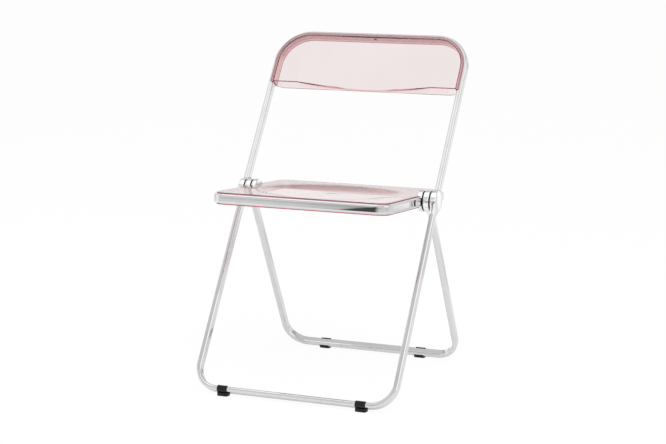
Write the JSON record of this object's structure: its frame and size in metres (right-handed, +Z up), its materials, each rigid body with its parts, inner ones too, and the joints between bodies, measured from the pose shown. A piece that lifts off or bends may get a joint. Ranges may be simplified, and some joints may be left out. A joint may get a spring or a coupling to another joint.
{
  "type": "folding dining chair",
  "caption": "Folding dining chair: chromed flat-oval tube hoops on stacked disc hinges, with a clear moulded seat and back.",
  "frame": {"origin": "on the floor, under the middle of the open chair's overall width and depth", "axes": "+Z up, front of the seat towards -Y, +X along the hinge axis to the right as seen from the front"},
  "size_m": [0.476, 0.515, 0.7555],
  "materials": {
    "chrome_tube": "bright plated",
    "clear_moulding": "clear, pale pink, polished",
    "cast_disc": "polished casting",
    "hinge_steel": "turned",
    "black_plastic": "moulded, fine grain"
  },
  "bodies": {
    "main_frame": {"back_hoop": "chrome_tube", "leg_hoop": "chrome_tube", "outer_disc_left": "cast_disc", "outer_disc_right": "cast_disc", "outer_washer_left": "black_plastic", "outer_washer_right": "black_plastic", "inner_washer_left": "black_plastic", "inner_washer_right": "black_plastic", "pivot_bolt_left": "hinge_steel", "pivot_bolt_right": "hinge_steel", "stop_pin_left": "hinge_steel", "stop_pin_right": "hinge_steel", "back_shell": "clear_moulding", "back_shell_screw": "hinge_steel", "front_foot_left": "black_plastic", "front_foot_right": "black_plastic"},
    "rear_legs": {"rear_hoop": "chrome_tube", "middle_disc_left": "cast_disc", "middle_disc_right": "cast_disc", "rear_foot_left": "black_plastic", "rear_foot_right": "black_plastic"},
    "seat": {"seat_front_hoop": "chrome_tube", "seat_rear_hoop": "chrome_tube", "inner_disc_left": "cast_disc", "inner_disc_right": "cast_disc", "seat_shell": "clear_moulding", "seat_shell_screws": "hinge_steel"}
  },
  "joints": [
    {"name": "rear_legs_fold", "type": "hinge", "parent": "main_frame", "child": "rear_legs", "pos_m": [0, 0.01701, 0.4125], "axis": [1, 0, 0], "range_deg": [-60.8, 0]},
    {"name": "seat_fold", "type": "hinge", "parent": "main_frame", "child": "seat", "pos_m": [0, 0.01701, 0.4125], "axis": [1, 0, 0], "range_deg": [-120.3, 0]}
  ]
}
